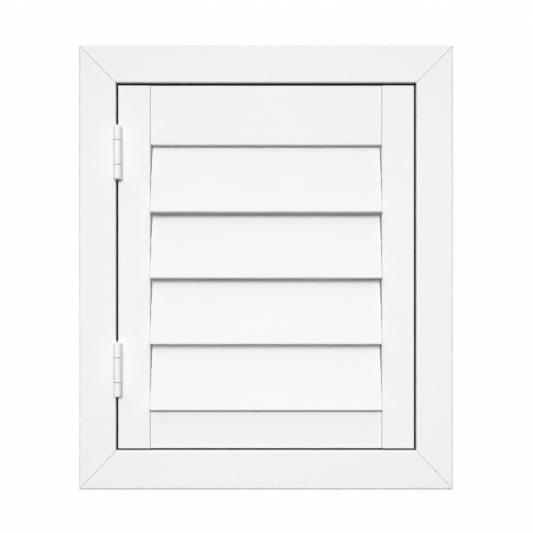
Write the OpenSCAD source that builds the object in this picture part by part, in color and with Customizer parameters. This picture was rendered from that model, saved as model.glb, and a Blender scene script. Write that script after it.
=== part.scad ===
// Louvred shutter: a mitred frame, one side-hung panel and four tilting louvres.
// Millimetres. Front faces -Y, +X is right, +Z is up, hinges on the left.
// Origin: middle of the frame's underside, half-way through its depth.

/* [Louvres] */
// Width of a louvre blade from edge to edge
louvre_w = 89; // [85:0.5:91]
// Thickness of a louvre blade
louvre_t = 11; // [10:0.25:12]
// Spacing of the louvre pivots
louvre_pitch = 77; // [75:0.5:79]
// Lean of the closed louvres from upright, lower edge forward
louvre_lean = 14; // [13:0.5:15]
// Rounding along the two long front edges of a blade
louvre_edge_r = 1; // [0.6:0.1:2]
// Rounding along the two long rear edges of a blade
louvre_back_r = 6; // [3:0.5:7]
// Rounding of the upright edges at a blade's ends
louvre_end_r = 1; // [0.5:0.1:1.5]
// Clear gap between a blade's end and the stile
louvre_end_gap = 0.8; // [0.4:0.1:1.2]
// Depth of the louvre pivots behind the stile's front face
pivot_depth = 7.5; // [7:0.25:9]
// Radius of the pivot pins
pivot_r = 3; // [2.5:0.1:3.2]

/* [Panel] */
// Clear width between the two stiles
daylight_w = 272.8; // [240:0.1:600]
// Face width of a stile
stile_w = 37.6; // [36:0.1:50]
// Thickness of the stiles
stile_t = 22; // [21:0.5:26]
// Set-back of the rails behind the stile faces
rail_setback = 1; // [0.5:0.1:1.5]
// Face height of the top rail
top_rail_h = 69.6; // [60:0.1:110]
// Face height of the bottom rail below the lowest louvre
bottom_rail_h = 42.7; // [40:0.1:100]
// Height by which the top louvre reaches behind the top rail
top_lap = 6.7; // [4:0.1:8]
// Height by which the bottom rail reaches behind the lowest louvre
bottom_lap = 7.5; // [4:0.1:8]
// Rounding of the front edges of the stiles and rails
panel_edge_r = 1; // [0.6:0.1:1.6]
// Hairline opening between the rails and the stiles
joint_gap = 0.45; // [0.1:0.05:0.5]

/* [Frame] */
// Face width of the jambs
frame_face = 43.5; // [40:0.5:60]
// Face height of the head
head_face = 44; // [40:0.1:62]
// Face height of the sill
sill_face = 46; // [40:0.1:62]
// Depth of the frame from front to back
frame_d = 46; // [44:0.5:60]
// Width of the stop lip behind the panel
lip_w = 16; // [15:0.5:18]
// Set-back of the panel behind the frame face
panel_setback = 2; // [1.5:0.1:3]
// Gap between panel and frame at the two sides
side_gap = 2.5; // [2.4:0.1:3]
// Gap between panel and frame at the top
top_gap = 3; // [2.4:0.1:4]
// Gap between panel and frame at the bottom
bottom_gap = 2.2; // [1.8:0.1:4]
// Clearance between the closed panel and the stop lip
stop_gap = 1; // [0.8:0.1:2]
// Rounding of the frame's outer front edge
frame_outer_r = 3; // [1:0.1:4]
// Rounding of the frame's inner front edge
frame_inner_r = 1.4; // [0.8:0.1:2]
// Hairline opening of the mitre joints
mitre_gap = 0.35; // [0.1:0.05:0.5]
// Radius of the fixing screw holes
fixing_r = 2.5; // [2:0.1:3]
// Distance between the two fixing holes of a jamb
fixing_spacing = 360; // [350:1:370]

/* [Hinges] */
// Height of a hinge
hinge_h = 63.5; // [60:0.5:66]
// Radius of the hinge barrel
barrel_r = 4.6; // [4.5:0.1:5.2]
// Height of the middle knuckle
middle_h = 28; // [24:0.5:32]
// Distance of the hinge axis in from the panel's edge
hinge_inset = 0.7; // [0.5:0.1:1.4]
// Thickness of a hinge leaf
leaf_t = 1.1; // [0.8:0.05:1.1]
// Depth to which a leaf reaches behind the frame face
leaf_depth = 19; // [18:0.5:19.5]
// Distance of the upper hinge's middle from the panel's top
upper_hinge_drop = 80; // [78:0.5:84]
// Distance of the lower hinge's middle from the panel's bottom
lower_hinge_rise = 94; // [92:0.5:98]

/* [Tilt bar] */
// Width of the tilt bar
bar_w = 5; // [4.5:0.1:5.5]
// Thickness of the tilt bar
bar_t = 2; // [1.5:0.1:2.5]
// Distance of the tilt bar from the right stile
bar_inset = 18; // [14:0.5:40]
// Reach of the link pins past the blade's rear edge
link_reach = 11.2; // [10.8:0.1:12]
// Offset of the link pins behind the blade's middle plane
link_offset = 6; // [5.6:0.1:6.3]
// Radius of the link pins
link_r = 1.2; // [1:0.1:1.3]

/* [Fits] */
// Radial clearance of pins that turn
run_gap = 0.05; // [0.03:0.01:0.08]
// Radial clearance of pieces that are pressed or glued in
seat_gap = 0.02; // [0.01:0.01:0.05]
// Clearance of a louvre from the rails it laps
lap_gap = 0.9; // [0.7:0.1:1.1]
// Clearance between neighbouring hinge knuckles
knuckle_gap = 0.75; // [0.4:0.05:0.8]

/* [Hidden] */
$fn = 48;
louvre_count = 4;
eps = 0.01;
cut = 1;

// sizes of the panel and the frame
panel_w = daylight_w + 2 * stile_w;
lean_s = sin(louvre_lean);
lean_c = cos(louvre_lean);
blade_len = daylight_w - 2 * louvre_end_gap;
blade_reach = louvre_w / 2 * lean_c + louvre_t / 2 * lean_s;
step_gap = 1.5;
lowest_pivot = bottom_rail_h + step_gap + blade_reach;
top_rail_z = lowest_pivot + (louvre_count - 1) * louvre_pitch + blade_reach - top_lap;
panel_h = top_rail_z + top_rail_h;
opening_w = panel_w + 2 * side_gap;
opening_h = panel_h + top_gap + bottom_gap;
frame_w = opening_w + 2 * frame_face;
frame_h = opening_h + sill_face + head_face;
panel_z = sill_face + bottom_gap;

// depths, front to back
front_y = -frame_d / 2;
back_y = frame_d / 2;
stile_y = front_y + panel_setback;
stile_back_y = stile_y + stile_t;
rail_y = stile_y + rail_setback;
rail_t = stile_t - 2 * rail_setback;
rail_back_y = rail_y + rail_t;
pivot_y = stile_y + pivot_depth;
lip_y = stile_back_y + stop_gap;

// laps between the outer louvres and the rails
half_skin = louvre_t / 2 / lean_c;
lean_t = tan(louvre_lean);
top_lip_back = pivot_y - half_skin + (blade_reach - top_lap) * lean_t - lap_gap;
tongue_front = pivot_y + half_skin - (blade_reach - bottom_lap) * lean_t + lap_gap;
rebate_gap = 2.5;
top_rebate_h = top_lap + rebate_gap;
tongue_h = bottom_lap + step_gap;
tongue_edge_r = 1;
back_edge_r = 1;

// pivot pins
journal_len = 14;
spigot_len = 18;
end_float = 0.2;
flange_t = louvre_end_gap - end_float;
flange_r = 4.6;
pin_clear = 1;

// dowels between rails and stiles
dowel_r = 4;
dowel_len = 52;
dowel_inset = 11;

// frame details
lip_edge_r = 1.4;
frame_back_r = 1;
member_d = frame_face + lip_w;
head_d = head_face * member_d / frame_face;
sill_d = sill_face * member_d / frame_face;
fixing_setback = 5.2;
fixing_y = lip_y - fixing_setback;
sink_r = 4.5;
sink_depth = 7;
key_len = 8;
key_waist = 1.6;
key_end = 3.4;
key_depth = 16;
key_at = 24;
seal_t = 0.8;
seal_w = 12;
seal_stop = 1;
seal_setback = 3;
seal_y = stile_y + seal_setback;

// catch
magnet_r = 4;
magnet_len = 6;
magnet_proud = 0.5;
magnet_inset = 10.5;
magnet_x = opening_w / 2 - magnet_inset;
catch_inset = 60;
strike_r = 6.5;
strike_t = 1;
spike_r = 1.5;
spike_len = 8;
tension_r = 3.4;
tension_gap = 0.3;
tension_sink = 0.5;
tension_louvre = louvre_count / 2;
slot_w = 1;
slot_d = 1.2;

// hinges
hinge_edge_x = -panel_w / 2;
hinge_x = hinge_edge_x + hinge_inset;
barrel_stand = 0.35;
hinge_y = front_y - barrel_r - barrel_stand;
hinge_upper_z = panel_z + panel_h - upper_hinge_drop;
hinge_lower_z = panel_z + lower_hinge_rise;
outer_h = (hinge_h - middle_h) / 2 - knuckle_gap;
barrel_end_r = 2.2;
hinge_pin_r = 2.4;
pin_cap = 2.6;
leaf_back = front_y + leaf_depth - hinge_y;
leaf_front = barrel_r + knuckle_gap;
screw_setback = 12.5;
screw_y = front_y + screw_setback - hinge_y;
screw_edge = 10.75;
screw_pitch = hinge_h / 2 - screw_edge;
screw_r = 1.6;
screw_head_r = 2.6;
screw_rim = 0.1;
screw_len = 15;
screw_tip = 3;
cross_w = 0.7;
cross_d = 0.7;

// tilt bar and its clips
bar_x = daylight_w / 2 - bar_inset;
bar_end = 6;
ear_t = 2.2;
ear_r = 2.8;
link_side = 0.2;
link_head_r = 2;
link_head_t = 1;
clip_t = 1.6;
clip_w = 9;
clip_foot = 10;
clip_spigot_r = 2;
clip_spigot_len = 4;
link_z = louvre_w / 2 + link_reach;
clip_edge = 0.6;
clip_top = louvre_w / 2 - louvre_back_r - clip_edge;
clip_round_z = louvre_w / 2 + clip_edge;
clip_mid = clip_top - clip_foot / 2;
link_rest_y = link_offset * lean_c + link_z * lean_s;
link_rest_z = link_z * lean_c - link_offset * lean_s;

// colours
paint = [0.945, 0.945, 0.945];
hinge_paint = [0.95, 0.95, 0.95];
nylon = [0.9, 0.9, 0.88];
seal_black = [0.05, 0.05, 0.05];
bare_wood = [0.72, 0.56, 0.38];
steel = [0.66, 0.67, 0.68];
alloy = [0.8, 0.81, 0.82];

function pivot_z(i) = panel_z + lowest_pivot + (louvre_count - i) * louvre_pitch;

louvre_nodes = [
    for (i = [1 : louvre_count], part = ["blade", "pins", "clip"])
        str("louvre_", i, "_", part)
];

// cutter that rounds one corner of a flat section, for the corner at the cutter's own lower left
module ease(x, y, r, turn) {
    translate([x, y])
        rotate(turn)
            difference() {
                translate([-eps, -eps])
                    square(r + eps);
                translate([r, r])
                    circle(r);
            }
}

// rectangle from the origin whose front pair (low y) and back pair of corners are rounded
module eased_rect(w, d, r_front, r_back) {
    difference() {
        square([w, d]);
        ease(0, 0, r_front, 0);
        ease(w, 0, r_front, 90);
        ease(w, d, r_back, 180);
        ease(0, d, r_back, 270);
    }
}

// lays a section drawn as (y, z) along +X
module along_x(len) {
    rotate([90, 0, 90])
        linear_extrude(height = len)
            children();
}

// section of a frame member: x runs inwards from the outer side, y is depth
module frame_section(face, deep) {
    difference() {
        union() {
            translate([0, front_y])
                square([face, frame_d]);
            translate([0, lip_y])
                square([deep, back_y - lip_y]);
        }
        ease(0, front_y, frame_outer_r, 0);
        ease(face, front_y, frame_inner_r, 90);
        ease(deep, lip_y, lip_edge_r, 90);
        ease(deep, back_y, frame_back_r, 180);
        ease(0, back_y, frame_back_r, 270);
    }
}

// set-back of a member's end that leaves half the mitre's opening, for a mitre as wide as the neighbour
function mitre_back(deep, wide) = mitre_gap / 2 * norm([deep, wide]) / deep;

// one mitred member, outer side down at z = 0, middle of its length at x = 0;
// the mitres at its -X and +X ends are as wide as the neighbours there
module frame_member(len, face, deep, wide_a, wide_b) {
    a = -len / 2 + mitre_back(deep, wide_a);
    b = len / 2 - mitre_back(deep, wide_b);
    intersection() {
        rotate([0, -90, 0])
            linear_extrude(height = len, center = true)
                frame_section(face, deep);
        rotate([90, 0, 0])
            linear_extrude(height = 2 * frame_d, center = true)
                polygon([[a, 0], [b, 0], [b - wide_b, deep], [a + wide_a, deep]]);
    }
}

// double dovetail across a mitre, long axis along the section's x, open at the back
module key_shape(grow) {
    long = key_len + grow;
    wide = key_end + grow;
    waist = key_waist + grow;
    polygon([[-long, -wide], [0, -waist], [long, -wide], [long, wide], [0, waist], [-long, wide]]);
}

// one key square across each mitre
module key_set(grow, extra) {
    for (sx = [-1, 1], sz = [-1, 1]) {
        wide = sz > 0 ? head_d : sill_d;
        key_z = key_at * wide / member_d;
        translate([sx * (frame_w / 2 - key_at), back_y + extra, frame_h / 2 + sz * (frame_h / 2 - key_z)])
            rotate([90, 0, 0])
                rotate(-atan2(member_d, wide) * sx * sz)
                    linear_extrude(height = key_depth + extra)
                        key_shape(grow);
    }
}

module fixing_hole(side) {
    for (up = [-1, 1])
        translate([side * (frame_w / 2 + cut), fixing_y, frame_h / 2 + up * fixing_spacing / 2])
            rotate([0, -90 * side, 0]) {
                cylinder(h = frame_face + 2 * cut, r = fixing_r);
                translate([0, 0, frame_face + cut - sink_depth])
                    cylinder(h = sink_depth + cut, r = sink_r);
            }
}

module jamb_left() {
    color(paint)
        difference() {
            translate([-frame_w / 2, 0, frame_h / 2])
                rotate([0, 90, 0])
                    frame_member(frame_h, frame_face, member_d, head_d, sill_d);
            fixing_hole(-1);
            key_set(seat_gap, cut);
            frame_screw_set(seat_gap);
        }
}

module jamb_right() {
    color(paint)
        difference() {
            translate([frame_w / 2, 0, frame_h / 2])
                rotate([0, -90, 0])
                    frame_member(frame_h, frame_face, member_d, sill_d, head_d);
            fixing_hole(1);
            key_set(seat_gap, cut);
            magnet_set(seat_gap);
        }
}

module head() {
    color(paint)
        difference() {
            translate([0, 0, frame_h])
                rotate([0, 180, 0])
                    frame_member(frame_w, head_face, head_d, member_d, member_d);
            key_set(seat_gap, cut);
        }
}

module sill() {
    color(paint)
        difference() {
            frame_member(frame_w, sill_face, sill_d, member_d, member_d);
            key_set(seat_gap, cut);
        }
}

module corner_keys() {
    color(nylon)
        key_set(0, 0);
}

module seal_strip(size) {
    color(seal_black)
        cube(size);
}

// the hinge side strip is in three lengths, stopping short of the hinge leaves
module seal_left() {
    stop = hinge_h / 2 + seal_stop;
    cuts = [sill_face, hinge_lower_z - stop, hinge_lower_z + stop, hinge_upper_z - stop,
        hinge_upper_z + stop, frame_h - head_face];
    for (i = [0 : 2 : 4])
        translate([-opening_w / 2, seal_y, cuts[i]])
            seal_strip([seal_t, seal_w, cuts[i + 1] - cuts[i]]);
}

module seal_right() {
    translate([opening_w / 2 - seal_t, seal_y, sill_face])
        seal_strip([seal_t, seal_w, opening_h]);
}

module seal_head() {
    translate([-opening_w / 2 + seal_t, seal_y, frame_h - head_face - seal_t])
        seal_strip([opening_w - 2 * seal_t, seal_w, seal_t]);
}

module seal_sill() {
    translate([-opening_w / 2 + seal_t, seal_y, sill_face])
        seal_strip([opening_w - 2 * seal_t, seal_w, seal_t]);
}

module magnet_set(grow) {
    for (z = [panel_z + catch_inset, panel_z + panel_h - catch_inset])
        translate([magnet_x, lip_y - magnet_proud, z])
            rotate([-90, 0, 0])
                cylinder(h = magnet_len + grow, r = magnet_r + grow);
}

module magnets() {
    color(steel)
        magnet_set(0);
}

// countersunk screw pointing down -Z, head flush with z = 0
module screw_body(grow) {
    cone = screw_head_r - screw_r;
    rotate_extrude()
        polygon([
            [0, 0],
            [screw_head_r + grow, 0],
            [screw_head_r + grow, -screw_rim],
            [screw_r + grow, -screw_rim - cone],
            [screw_r + grow, -screw_len + screw_tip - grow],
            [0, -screw_len - grow]
        ]);
}

module screw() {
    difference() {
        screw_body(0);
        for (turn = [0, 90])
            rotate(turn)
                translate([-screw_r, -cross_w / 2, -cross_d])
                    cube([2 * screw_r, cross_w, cross_d + cut]);
    }
}

// positions of the six screws of one side of both hinges
module at_hinge_screws(x, turn) {
    for (zc = [hinge_lower_z, hinge_upper_z], k = [-1 : 1])
        translate([hinge_edge_x + x, hinge_y + screw_y, zc + k * screw_pitch])
            rotate([0, turn, 0])
                children();
}

module frame_screw_set(grow) {
    at_hinge_screws(leaf_t - side_gap, 90)
        screw_body(grow);
}

module panel_screw_set(grow) {
    at_hinge_screws(-leaf_t, -90)
        screw_body(grow);
}

module frame_hinge_screws() {
    color(steel)
        at_hinge_screws(leaf_t - side_gap, 90)
            screw();
}

module panel_hinge_screws() {
    color(steel)
        at_hinge_screws(-leaf_t, -90)
            screw();
}

// barrel length standing on z = 0, its top edge rounded when tip_r is above nought
module knuckle(h, tip_r) {
    rotate_extrude()
        difference() {
            square([barrel_r, h]);
            if (tip_r > 0)
                ease(barrel_r, h, tip_r, 180);
        }
}

// leaf with the two outer knuckles, fixed to the frame
module frame_leaf(zc) {
    color(hinge_paint)
        difference() {
            translate([hinge_x, hinge_y, zc]) {
                difference() {
                    union() {
                        for (up = [0, 180])
                            rotate([up, 0, 0])
                                translate([0, 0, hinge_h / 2 - outer_h])
                                    knuckle(outer_h, barrel_end_r);
                        for (z = [-hinge_h / 2 + barrel_end_r, hinge_h / 2 - outer_h])
                            translate([-side_gap - hinge_inset, 0, z])
                                cube([leaf_t, leaf_back, outer_h - barrel_end_r]);
                        translate([-side_gap - hinge_inset, leaf_front, -hinge_h / 2])
                            cube([leaf_t, leaf_back - leaf_front, hinge_h]);
                    }
                    translate([0, 0, -hinge_h / 2 - cut])
                        cylinder(h = hinge_h - pin_cap + cut, r = hinge_pin_r + seat_gap);
                }
            }
            frame_screw_set(seat_gap);
        }
}

// leaf with the middle knuckle, fixed to the panel
module panel_leaf(zc) {
    color(hinge_paint)
        difference() {
            translate([hinge_x, hinge_y, zc])
                difference() {
                    union() {
                        translate([0, 0, -middle_h / 2])
                            knuckle(middle_h, 0);
                        translate([-leaf_t - hinge_inset, 0, -middle_h / 2])
                            cube([leaf_t, leaf_back, middle_h]);
                        translate([-leaf_t - hinge_inset, leaf_front, -hinge_h / 2])
                            cube([leaf_t, leaf_back - leaf_front, hinge_h]);
                    }
                    translate([0, 0, -middle_h / 2 - cut])
                        cylinder(h = middle_h + 2 * cut, r = hinge_pin_r + run_gap);
                }
            panel_screw_set(seat_gap);
        }
}

module hinge_pin(zc) {
    color(steel)
        translate([hinge_x, hinge_y, zc - hinge_h / 2])
            cylinder(h = hinge_h - pin_cap - seat_gap, r = hinge_pin_r);
}

// stile standing on the panel's bottom edge, left corner at x
module stile_blank(x) {
    translate([x, stile_y, panel_z])
        intersection() {
            linear_extrude(height = panel_h)
                eased_rect(stile_w, stile_t, panel_edge_r, back_edge_r);
            along_x(stile_w)
                rotate(-90)
                    translate([-panel_h, 0])
                        eased_rect(panel_h, stile_t, panel_edge_r, back_edge_r);
        }
}

module pivot_holes(side) {
    for (i = [1 : louvre_count])
        translate([side * (daylight_w / 2 - cut), pivot_y, pivot_z(i)])
            rotate([0, side * 90, 0])
                cylinder(h = journal_len + cut + pin_clear, r = pivot_r + run_gap);
}

function dowel_rows() = [
    panel_z + dowel_inset,
    panel_z + bottom_rail_h - dowel_inset,
    panel_z + top_rail_z + top_rebate_h + dowel_inset,
    panel_z + panel_h - dowel_inset
];

module dowel_set(grow) {
    for (side = [-1, 1], z = dowel_rows())
        translate([side * daylight_w / 2, rail_y + rail_t / 2, z])
            rotate([0, 90, 0])
                cylinder(h = dowel_len + 2 * grow, r = dowel_r + grow, center = true);
}

module stile_left() {
    color(paint)
        difference() {
            stile_blank(-panel_w / 2);
            pivot_holes(-1);
            dowel_set(seat_gap);
            panel_screw_set(seat_gap);
        }
}

module stile_right() {
    color(paint)
        difference() {
            stile_blank(daylight_w / 2);
            pivot_holes(1);
            dowel_set(seat_gap);
            strike_set(seat_gap);
            tension_body(seat_gap, tension_sink + cut);
        }
}

module strike_set(grow) {
    for (z = [panel_z + catch_inset, panel_z + panel_h - catch_inset])
        translate([magnet_x, stile_back_y, z])
            rotate([90, 0, 0]) {
                translate([0, 0, -grow])
                    cylinder(h = strike_t + grow, r = strike_r + grow);
                cylinder(h = strike_t + spike_len + grow, r = spike_r + grow);
            }
}

module strike_plates() {
    color(steel)
        strike_set(0);
}

// set screw behind one pivot pin, flush with the stile's outer edge
module tension_body(grow, extra) {
    tip_x = daylight_w / 2 + flange_t + journal_len - louvre_end_gap + tension_gap;
    translate([tip_x - grow, pivot_y, pivot_z(tension_louvre)])
        rotate([0, 90, 0])
            cylinder(h = panel_w / 2 - tip_x - tension_sink + grow + extra, r = tension_r + grow);
}

module tension_screw() {
    color(steel)
        difference() {
            tension_body(0, 0);
            translate([panel_w / 2 - tension_sink - slot_d, pivot_y, pivot_z(tension_louvre)])
                rotate([0, 90, 0])
                    translate([-slot_w / 2, -tension_r - cut, 0])
                        cube([slot_w, 2 * (tension_r + cut), slot_d + cut]);
        }
}

// the top louvre's edge stands in the rebate behind this rail's lower lip
module rail_top() {
    z = panel_z + top_rail_z;
    color(paint)
        difference() {
            translate([joint_gap - daylight_w / 2, 0, 0])
                along_x(daylight_w - 2 * joint_gap)
                    difference() {
                        translate([rail_y, z])
                            square([rail_t, top_rail_h]);
                        translate([top_lip_back, z - cut])
                            square([rail_t, top_rebate_h + cut]);
                        ease(rail_y, z, panel_edge_r, 0);
                        ease(rail_y, z + top_rail_h, panel_edge_r, 270);
                        ease(rail_back_y, z + top_rail_h, back_edge_r, 180);
                        ease(rail_back_y, z + top_rebate_h, back_edge_r, 90);
                    }
            dowel_set(seat_gap);
        }
}

// the tongue stands up behind the lowest louvre's edge
module rail_bottom() {
    color(paint)
        difference() {
            translate([joint_gap - daylight_w / 2, 0, 0])
                along_x(daylight_w - 2 * joint_gap)
                    difference() {
                        translate([rail_y, panel_z])
                            square([rail_t, bottom_rail_h + tongue_h]);
                        translate([rail_y - cut, panel_z + bottom_rail_h])
                            square([tongue_front - rail_y + cut, tongue_h + cut]);
                        ease(rail_y, panel_z, panel_edge_r, 0);
                        ease(rail_y, panel_z + bottom_rail_h, panel_edge_r, 270);
                        ease(tongue_front, panel_z + bottom_rail_h + tongue_h, tongue_edge_r, 270);
                        ease(rail_back_y, panel_z + bottom_rail_h + tongue_h, tongue_edge_r, 180);
                        ease(rail_back_y, panel_z, back_edge_r, 90);
                    }
            dowel_set(seat_gap);
        }
}

module rail_dowels() {
    color(bare_wood)
        dowel_set(0);
}

// places a piece drawn in a louvre's own axes: pivot at the origin, blade upright
module on_louvre(i) {
    translate([0, pivot_y, pivot_z(i)])
        rotate([-louvre_lean, 0, 0])
            children();
}

// blade from its lower front left corner: the section along X, eased at both ends
module blade_blank() {
    intersection() {
        along_x(blade_len)
            difference() {
                square([louvre_t, louvre_w]);
                ease(0, 0, louvre_edge_r, 0);
                ease(louvre_t, 0, louvre_back_r, 90);
                ease(louvre_t, louvre_w, louvre_back_r, 180);
                ease(0, louvre_w, louvre_edge_r, 270);
            }
        linear_extrude(height = louvre_w)
            eased_rect(blade_len, louvre_t, louvre_end_r, louvre_end_r);
    }
}

module louvre_blade(i) {
    color(paint)
        on_louvre(i)
            difference() {
                translate([-blade_len / 2, -louvre_t / 2, -louvre_w / 2])
                    blade_blank();
                for (side = [-1, 1])
                    translate([side * (blade_len / 2 + cut), 0, 0])
                        rotate([0, -side * 90, 0])
                            cylinder(h = spigot_len + cut + seat_gap, r = pivot_r + seat_gap);
                clip_spigot(seat_gap);
            }
}

// spigot in the blade, thin flange at its end, journal in the stile
module louvre_pins(i) {
    color(nylon)
        on_louvre(i)
            for (side = [-1, 1])
                translate([side * blade_len / 2, 0, 0])
                    rotate([0, side * 90, 0]) {
                        translate([0, 0, -spigot_len])
                            cylinder(h = spigot_len + flange_t + journal_len, r = pivot_r);
                        cylinder(h = flange_t, r = flange_r);
                    }
}

module clip_spigot(grow) {
    translate([bar_x - ear_t - clip_w / 2, louvre_t / 2 + eps, clip_mid])
        rotate([90, 0, 0])
            cylinder(h = clip_spigot_len + grow + eps, r = clip_spigot_r + grow);
}

// foot on the blade's rear face, ear past its rear edge, link pin through the tilt bar
module louvre_clip(i) {
    ear_x = bar_x - bar_t / 2 - link_side - ear_t;
    foot_y = louvre_t / 2;
    color(nylon)
        on_louvre(i) {
            clip_spigot(0);
            translate([bar_x - ear_t - clip_w, foot_y, clip_top - clip_foot])
                cube([ear_x + ear_t - bar_x + ear_t + clip_w, clip_t, clip_foot]);
            translate([ear_x, 0, 0])
                along_x(ear_t) {
                    polygon([
                        [foot_y, clip_top - clip_foot],
                        [foot_y + clip_t, clip_top - clip_foot],
                        [link_offset + ear_r, link_z - ear_r],
                        [link_offset + ear_r, link_z],
                        [link_offset - ear_r, link_z],
                        [link_offset - ear_r, clip_round_z],
                        [foot_y, clip_round_z]
                    ]);
                    translate([link_offset, link_z])
                        circle(ear_r);
                }
            translate([ear_x, link_offset, link_z])
                rotate([0, 90, 0]) {
                    cylinder(h = ear_t + bar_t + 2 * link_side + link_head_t, r = link_r);
                    translate([0, 0, ear_t + bar_t + 2 * link_side])
                        cylinder(h = link_head_t, r = link_head_r);
                }
        }
}

// upright strip at the back that joins the four louvres
module tilt_bar() {
    low = pivot_z(louvre_count) + link_rest_z - bar_end;
    high = pivot_z(1) + link_rest_z + bar_end;
    color(alloy)
        translate([bar_x - bar_t / 2, pivot_y + link_rest_y, 0])
            difference() {
                translate([0, -bar_w / 2, low])
                    cube([bar_t, bar_w, high - low]);
                for (i = [1 : louvre_count])
                    translate([-cut, 0, pivot_z(i) + link_rest_z])
                        rotate([0, 90, 0])
                            cylinder(h = bar_t + 2 * cut, r = link_r + run_gap);
            }
}

jamb_left();
jamb_right();
head();
sill();
corner_keys();
seal_left();
seal_right();
seal_head();
seal_sill();
frame_leaf(hinge_upper_z);  // hinge_upper_frame_leaf
frame_leaf(hinge_lower_z);  // hinge_lower_frame_leaf
hinge_pin(hinge_upper_z);  // hinge_upper_pin
hinge_pin(hinge_lower_z);  // hinge_lower_pin
frame_hinge_screws();
magnets();
stile_left();
stile_right();
rail_top();
rail_bottom();
rail_dowels();
panel_leaf(hinge_upper_z);  // hinge_upper_panel_leaf
panel_leaf(hinge_lower_z);  // hinge_lower_panel_leaf
panel_hinge_screws();
strike_plates();
tension_screw();
for (i = [1 : louvre_count]) {
    louvre_blade(i);
    louvre_pins(i);
    louvre_clip(i);
}
tilt_bar();
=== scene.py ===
"""Looks of a white louvred shutter in its frame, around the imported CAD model. Metres, front faces -Y."""

import math

import bmesh
import bpy
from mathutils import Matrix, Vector


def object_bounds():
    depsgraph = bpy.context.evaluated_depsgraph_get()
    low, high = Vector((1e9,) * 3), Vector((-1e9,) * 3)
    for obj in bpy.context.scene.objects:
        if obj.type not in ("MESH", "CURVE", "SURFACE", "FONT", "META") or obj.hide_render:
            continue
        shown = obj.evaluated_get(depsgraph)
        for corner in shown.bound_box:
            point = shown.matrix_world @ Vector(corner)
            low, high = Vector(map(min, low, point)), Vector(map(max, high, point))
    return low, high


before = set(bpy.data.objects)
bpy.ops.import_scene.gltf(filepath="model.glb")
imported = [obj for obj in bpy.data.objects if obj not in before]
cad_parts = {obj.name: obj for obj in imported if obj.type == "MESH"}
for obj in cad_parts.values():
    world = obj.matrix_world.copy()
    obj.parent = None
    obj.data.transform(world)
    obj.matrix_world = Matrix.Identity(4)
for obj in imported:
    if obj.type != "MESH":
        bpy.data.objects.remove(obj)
cad_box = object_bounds()
scene = bpy.context.scene
MM = 0.001
LOUVRES = range(1, 5)
SHUTTER_MIDDLE = Vector((0, 0, (cad_box[0][2] + cad_box[1][2]) / 2))

# camera: straight on, a little above and right of the frame's middle
CAMERA_AT = (0.0005, -0.778, 0.2623)
CAMERA_LENS = 43.48
SENSOR_WIDTH = 36
NEAREST_SEEN = 0.02

# studio: the floor shows the shutter's shadow near its middle and fades to the studio's white further out
STUDIO_WHITE = 0.992
FLOOR_Z = -0.35
FLOOR_RADIUS = 12
FADE_FROM = 0.25
FADE_TO = 0.68
LEAST_WHITE = 0.5

# light: levels are shares of full light on a surface that faces the lamp
AMBIENT = 0.06
# near, so that it falls more steeply on the lower louvres, and aimed down, so that its level is even
FRONT_LAMP = {"away": 1.8, "height": 0.745, "pitch_deg": 57, "wide": 0.5, "tall": 0.75}
# low, so that little of its light passes between the louvres
REAR_LAMP = {"away": 3, "height": FLOOR_Z + 0.07, "pitch_deg": -10, "wide": 1.2, "tall": 0.1}


def linear(hex_colour):
    """sRGB hex to the linear colour that sockets take."""
    parts = [int(hex_colour[i:i + 2], 16) / 255 for i in (1, 3, 5)]
    return [c / 12.92 if c <= 0.04045 else ((c + 0.055) / 1.055) ** 2.4 for c in parts] + [1.0]


def add(tree, kind, settings=None, **inputs):
    """Adds a node. Settings are its properties. Inputs are values or other nodes' output sockets,
    by the input's name, or by its number after an i."""
    node = tree.nodes.new(kind)
    for name, value in (settings or {}).items():
        setattr(node, name, value)
    for name, value in inputs.items():
        key = int(name[1:]) if name[0] == "i" and name[1:].isdigit() else name.replace("_", " ")
        if isinstance(value, bpy.types.NodeSocket):
            tree.links.new(value, node.inputs[key])
        else:
            node.inputs[key].default_value = value
    return node


def new_material(name):
    """A material with an empty node tree."""
    material = bpy.data.materials.new(name)
    material.use_nodes = True
    material.node_tree.nodes.clear()
    return material, material.node_tree


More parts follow.
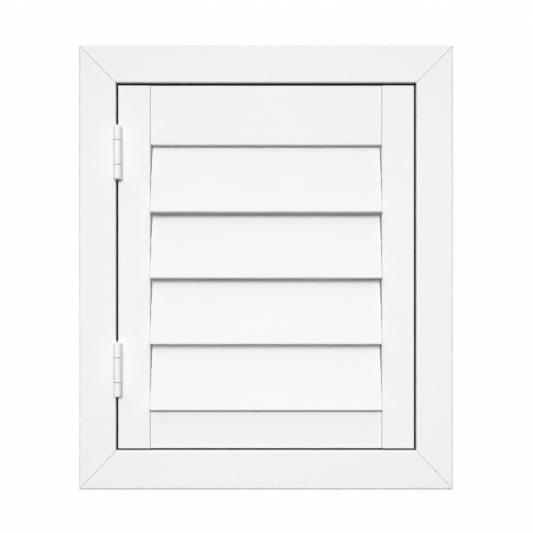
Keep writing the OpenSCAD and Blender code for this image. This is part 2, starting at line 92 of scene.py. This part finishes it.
def satin_paint(name, light, shade, along):
    """Sprayed and rolled satin wood paint: an even white, a soft broad sheen, a fine stipple
    and the faint long grain of the wood below it, which runs along the member."""
    long_mm = 90
    fine_mm = 1.6
    grain_mm = {"x": (long_mm, fine_mm, fine_mm), "z": (fine_mm, fine_mm, long_mm)}[along]
    # the roller's stipple is drawn at about twice its real size, so that it shows
    stipple_mm = 1.4
    cloud_mm = 70
    relief_mm = 0.02
    material, tree = new_material(name)
    place = add(tree, "ShaderNodeTexCoord").outputs["Object"]
    stretched = add(tree, "ShaderNodeMapping", Vector=place, Scale=[1 / (size * MM) for size in grain_mm])
    grain = add(tree, "ShaderNodeTexNoise", Vector=stretched.outputs[0], Scale=1.0, Detail=3.0,
                Roughness=0.6)
    stipple = add(tree, "ShaderNodeTexNoise", Vector=place, Scale=1 / (stipple_mm * MM), Detail=2.0)
    cloud = add(tree, "ShaderNodeTexNoise", Vector=place, Scale=1 / (cloud_mm * MM), Detail=2.0)
    tone = add(tree, "ShaderNodeMix", {"data_type": "RGBA"}, i0=cloud.outputs["Fac"],
               i6=linear(light), i7=linear(shade))
    gloss = add(tree, "ShaderNodeMapRange", Value=stipple.outputs["Fac"], To_Min=0.64, To_Max=0.72)
    wood = add(tree, "ShaderNodeBump", Height=grain.outputs["Fac"], Strength=0.25, Distance=relief_mm * MM)
    skin = add(tree, "ShaderNodeBump", Height=stipple.outputs["Fac"], Strength=0.3, Distance=relief_mm * MM,
               Normal=wood.outputs[0])
    paint = add(tree, "ShaderNodeBsdfPrincipled", Base_Color=tone.outputs[2], IOR=1.5,
                Specular_IOR_Level=0.22, Roughness=gloss.outputs[0], Normal=skin.outputs[0])
    add(tree, "ShaderNodeOutputMaterial", Surface=paint.outputs[0])
    return material


def enamel(name, light, shade):
    """Baked white enamel on steel: a little smoother than the wood paint, with a slight orange peel."""
    peel_mm = 0.9
    cloud_mm = 18
    relief_mm = 0.02
    material, tree = new_material(name)
    place = add(tree, "ShaderNodeTexCoord").outputs["Object"]
    peel = add(tree, "ShaderNodeTexNoise", Vector=place, Scale=1 / (peel_mm * MM), Detail=1.0)
    cloud = add(tree, "ShaderNodeTexNoise", Vector=place, Scale=1 / (cloud_mm * MM), Detail=2.0)
    tone = add(tree, "ShaderNodeMix", {"data_type": "RGBA"}, i0=cloud.outputs["Fac"],
               i6=linear(light), i7=linear(shade))
    gloss = add(tree, "ShaderNodeMapRange", Value=cloud.outputs["Fac"], To_Min=0.46, To_Max=0.54)
    skin = add(tree, "ShaderNodeBump", Height=peel.outputs["Fac"], Strength=0.2, Distance=relief_mm * MM)
    coat = add(tree, "ShaderNodeBsdfPrincipled", Base_Color=tone.outputs[2], IOR=1.5,
               Specular_IOR_Level=0.3, Roughness=gloss.outputs[0], Normal=skin.outputs[0])
    add(tree, "ShaderNodeOutputMaterial", Surface=coat.outputs[0])
    return material


def nylon():
    """Moulded natural nylon: a milky off-white with a dull spark-eroded surface."""
    spark_mm = 0.35
    cloud_mm = 6
    relief_mm = 0.02
    material, tree = new_material("moulded_nylon")
    place = add(tree, "ShaderNodeTexCoord").outputs["Object"]
    spark = add(tree, "ShaderNodeTexNoise", Vector=place, Scale=1 / (spark_mm * MM), Detail=2.0)
    cloud = add(tree, "ShaderNodeTexNoise", Vector=place, Scale=1 / (cloud_mm * MM), Detail=2.0)
    tone = add(tree, "ShaderNodeMix", {"data_type": "RGBA"}, i0=cloud.outputs["Fac"],
               i6=linear("#e8e8e2"), i7=linear("#e0e0d9"))
    gloss = add(tree, "ShaderNodeMapRange", Value=spark.outputs["Fac"], To_Min=0.45, To_Max=0.6)
    skin = add(tree, "ShaderNodeBump", Height=spark.outputs["Fac"], Strength=0.3, Distance=relief_mm * MM)
    plastic = add(tree, "ShaderNodeBsdfPrincipled", Base_Color=tone.outputs[2], IOR=1.53,
                  Roughness=gloss.outputs[0], Normal=skin.outputs[0])
    add(tree, "ShaderNodeOutputMaterial", Surface=plastic.outputs[0])
    return material


def rubber():
    """Extruded black rubber strip: almost no shine, a fine uneven skin and a trace of dust. Lining the
    rebates, its black is also painted shade: the dark line in the gap round the panel.
    """
    skin_mm = 0.8
    dust_mm = 9
    relief_mm = 0.03
    material, tree = new_material("black_rubber_strip_and_gap_shade")
    place = add(tree, "ShaderNodeTexCoord").outputs["Object"]
    uneven = add(tree, "ShaderNodeTexNoise", Vector=place, Scale=1 / (skin_mm * MM), Detail=2.0)
    dust = add(tree, "ShaderNodeTexNoise", Vector=place, Scale=1 / (dust_mm * MM), Detail=4.0)
    tone = add(tree, "ShaderNodeMix", {"data_type": "RGBA"}, i0=dust.outputs["Fac"],
               i6=linear("#080808"), i7=linear("#101010"))
    gloss = add(tree, "ShaderNodeMapRange", Value=uneven.outputs["Fac"], To_Min=0.75, To_Max=0.9)
    skin = add(tree, "ShaderNodeBump", Height=uneven.outputs["Fac"], Strength=0.3, Distance=relief_mm * MM)
    strip = add(tree, "ShaderNodeBsdfPrincipled", Base_Color=tone.outputs[2], IOR=1.5,
                Roughness=gloss.outputs[0], Normal=skin.outputs[0])
    add(tree, "ShaderNodeOutputMaterial", Surface=strip.outputs[0])
    return material


def bare_metal(name, light, shade, rough, line_mm):
    """Bare or plated metal: a grey mirror broken by fine marks, with their size along x, y and z."""
    rough_change = 0.06
    relief_mm = 0.01
    material, tree = new_material(name)
    place = add(tree, "ShaderNodeTexCoord").outputs["Object"]
    stretched = add(tree, "ShaderNodeMapping", Vector=place, Scale=[1 / (size * MM) for size in line_mm])
    line = add(tree, "ShaderNodeTexNoise", Vector=stretched.outputs[0], Scale=1.0, Detail=3.0)
    tone = add(tree, "ShaderNodeMix", {"data_type": "RGBA"}, i0=line.outputs["Fac"],
               i6=linear(light), i7=linear(shade))
    gloss = add(tree, "ShaderNodeMapRange", Value=line.outputs["Fac"], To_Min=rough - rough_change,
                To_Max=rough + rough_change)
    skin = add(tree, "ShaderNodeBump", Height=line.outputs["Fac"], Strength=0.2, Distance=relief_mm * MM)
    metal = add(tree, "ShaderNodeBsdfPrincipled", Base_Color=tone.outputs[2], Metallic=1.0,
                Roughness=gloss.outputs[0], Normal=skin.outputs[0])
    add(tree, "ShaderNodeOutputMaterial", Surface=metal.outputs[0])
    return material


def beech():
    """Turned beech dowel: pale pinkish brown with short dark flecks along the grain."""
    fleck_mm = (6, 0.5, 0.5)
    relief_mm = 0.04
    material, tree = new_material("turned_beech")
    place = add(tree, "ShaderNodeTexCoord").outputs["Object"]
    stretched = add(tree, "ShaderNodeMapping", Vector=place, Scale=[1 / (size * MM) for size in fleck_mm])
    fleck = add(tree, "ShaderNodeTexNoise", Vector=stretched.outputs[0], Scale=1.0, Detail=4.0,
                Roughness=0.65)
    tone = add(tree, "ShaderNodeMix", {"data_type": "RGBA"}, i0=fleck.outputs["Fac"],
               i6=linear("#d0ab84"), i7=linear("#a9825b"))
    gloss = add(tree, "ShaderNodeMapRange", Value=fleck.outputs["Fac"], To_Min=0.55, To_Max=0.7)
    skin = add(tree, "ShaderNodeBump", Height=fleck.outputs["Fac"], Strength=0.3, Distance=relief_mm * MM)
    wood = add(tree, "ShaderNodeBsdfPrincipled", Base_Color=tone.outputs[2], IOR=1.5,
               Roughness=gloss.outputs[0], Normal=skin.outputs[0])
    add(tree, "ShaderNodeOutputMaterial", Surface=wood.outputs[0])
    return material


def dress(material, *nodes):
    """Puts one finish on CAD nodes."""
    for name in nodes:
        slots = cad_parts[name].data.materials
        slots.clear()
        slots.append(material)


def far_lamp(name, height_deg, spread_deg, level):
    """Broad lamp far away in front, even from edge to edge."""
    lamp = bpy.data.lights.new(name, "SUN")
    lamp.angle = math.radians(spread_deg)
    lamp.energy = level * math.pi
    obj = bpy.data.objects.new(name, lamp)
    scene.collection.objects.link(obj)
    obj.rotation_euler = (math.radians(90 - height_deg), 0, 0)


def stand_lamp(name, kind, side_deg, turn_deg, level):
    """Lamp on a stand. Its side is 0 in front of the shutter and 180 behind, and a turn equal to the
    side aims it at the shutter's upright middle line. The level is the one at the shutter's middle."""
    lamp = bpy.data.lights.new(name, "AREA")
    lamp.shape = "RECTANGLE"
    lamp.size = kind["wide"]
    lamp.size_y = kind["tall"]
    obj = bpy.data.objects.new(name, lamp)
    obj.visible_camera = False
    scene.collection.objects.link(obj)
    side = math.radians(side_deg)
    obj.location = (math.sin(side) * kind["away"], -math.cos(side) * kind["away"], kind["height"])
    obj.rotation_euler = (math.radians(90 - kind["pitch_deg"]), 0, math.radians(turn_deg))
    path = SHUTTER_MIDDLE - obj.location
    aim = obj.rotation_euler.to_matrix() @ Vector((0, 0, -1))
    lamp.energy = level * math.pi ** 2 * path.length ** 3 / path.dot(aim)


def white_to_camera(tree):
    """1 for rays that look at the scene, straight or by way of gloss or glass. 0 for rays that light it."""
    path = add(tree, "ShaderNodeLightPath")
    gloss = add(tree, "ShaderNodeMath", {"operation": "MAXIMUM"}, i0=path.outputs["Is Camera Ray"],
                i1=path.outputs["Is Glossy Ray"])
    return add(tree, "ShaderNodeMath", {"operation": "MAXIMUM"}, i0=gloss.outputs[0],
               i1=path.outputs["Is Transmission Ray"]).outputs[0]


def make_world():
    """White to the eye, and a soft even light on the object."""
    world = bpy.data.worlds.new("studio")
    scene.world = world
    world.use_nodes = True
    tree = world.node_tree
    tree.nodes.clear()
    seen = add(tree, "ShaderNodeBackground", Color=(1, 1, 1, 1), Strength=STUDIO_WHITE)
    lit = add(tree, "ShaderNodeBackground", Color=(1, 1, 1, 1), Strength=AMBIENT)
    both = add(tree, "ShaderNodeMixShader", Fac=white_to_camera(tree), i1=lit.outputs[0],
               i2=seen.outputs[0])
    add(tree, "ShaderNodeOutputWorld", Surface=both.outputs[0])


def make_floor():
    """Plain pale floor below the shutter. It is darker to the light than to the eye, so that it sends
    little light up."""
    mesh = bpy.data.meshes.new("floor")
    bm = bmesh.new()
    bmesh.ops.create_circle(bm, cap_ends=True, segments=96, radius=FLOOR_RADIUS)
    bmesh.ops.translate(bm, verts=bm.verts, vec=(0, 0, FLOOR_Z))
    bm.to_mesh(mesh)
    bm.free()
    floor = bpy.data.objects.new("floor", mesh)
    scene.collection.objects.link(floor)
    material, tree = new_material("pale_studio_floor")
    place = add(tree, "ShaderNodeTexCoord").outputs["Object"]
    flat = add(tree, "ShaderNodeVectorMath", {"operation": "MULTIPLY"}, i0=place, i1=(1, 1, 0))
    away = add(tree, "ShaderNodeVectorMath", {"operation": "LENGTH"}, i0=flat.outputs[0])
    fade = add(tree, "ShaderNodeMapRange", {"interpolation_type": "SMOOTHSTEP"},
               Value=away.outputs["Value"], From_Min=FADE_FROM, From_Max=FADE_TO, To_Min=LEAST_WHITE)
    pale = add(tree, "ShaderNodeBsdfDiffuse", Color=linear("#f4f4f4"))
    white = add(tree, "ShaderNodeEmission", Color=(1, 1, 1, 1), Strength=STUDIO_WHITE)
    seen = add(tree, "ShaderNodeMixShader", Fac=fade.outputs[0], i1=pale.outputs[0], i2=white.outputs[0])
    dim = add(tree, "ShaderNodeBsdfDiffuse", Color=linear("#505050"))
    both = add(tree, "ShaderNodeMixShader", Fac=white_to_camera(tree), i1=dim.outputs[0],
               i2=seen.outputs[0])
    add(tree, "ShaderNodeOutputMaterial", Surface=both.outputs[0])
    mesh.materials.append(material)


def make_camera():
    """Camera that looks level along +Y."""
    data = bpy.data.cameras.new("camera")
    data.lens = CAMERA_LENS
    data.sensor_width = SENSOR_WIDTH
    data.clip_start = NEAREST_SEEN
    camera = bpy.data.objects.new("camera", data)
    scene.collection.objects.link(camera)
    camera.location = CAMERA_AT
    camera.rotation_euler = (math.pi / 2, 0, 0)
    scene.camera = camera


# wood members, grain along each member; the blades' paint is set darker than the frame's as painted shade,
# which tones down the extra light that falls on them
dress(satin_paint("satin_paint_upright_grain", "#f0f0f0", "#eeeeee", "z"),
      "jamb_left", "jamb_right", "stile_left", "stile_right")
dress(satin_paint("satin_paint_level_grain", "#f0f0f0", "#eeeeee", "x"),
      "head", "sill", "rail_top", "rail_bottom")
dress(satin_paint("satin_paint_blades_painted_shade", "#ebebeb", "#e8e8e8", "x"),
      *[f"louvre_{i}_blade" for i in LOUVRES])

# hinges and fittings
dress(enamel("white_enamelled_steel", "#f2f2f2", "#efefef"),
      *[f"hinge_{where}_{leaf}_leaf" for where in ("upper", "lower") for leaf in ("frame", "panel")])
dress(bare_metal("zinc_plated_steel", "#b4b7ba", "#a2a5a9", rough=0.3, line_mm=(4, 0.3, 0.3)),
      "frame_hinge_screws", "panel_hinge_screws", "tension_screw")
dress(bare_metal("oiled_steel", "#4c4e50", "#3c3e40", rough=0.4, line_mm=(0.3, 0.3, 4)),
      "hinge_upper_pin", "hinge_lower_pin")
dress(bare_metal("nickel_plated_steel", "#c2c1bc", "#b3b2ad", rough=0.2, line_mm=(0.6, 0.6, 0.6)),
      "magnets", "strike_plates")
dress(bare_metal("mill_finish_aluminium", "#cdd0d2", "#bcc0c3", rough=0.36, line_mm=(0.4, 0.4, 40)),
      "tilt_bar")
dress(nylon(), "corner_keys", *[f"louvre_{i}_{part}" for i in LOUVRES for part in ("pins", "clip")])
# the seals' black is partly their own colour and partly painted shade, which darkens the gap round the
# panel
dress(rubber(), "seal_left", "seal_right", "seal_head", "seal_sill")
dress(beech(), "rail_dowels")

make_camera()
make_world()
make_floor()
far_lamp("wide_light", height_deg=40, spread_deg=90, level=0.343)
stand_lamp("left_light", FRONT_LAMP, side_deg=-9, turn_deg=-34, level=0.371)
stand_lamp("right_light", FRONT_LAMP, side_deg=6, turn_deg=17, level=0.345)
stand_lamp("rear_left_light", REAR_LAMP, side_deg=-127, turn_deg=-127, level=0.6)
stand_lamp("rear_right_light", REAR_LAMP, side_deg=127, turn_deg=127, level=0.6)
scene.view_settings.view_transform = "Standard"
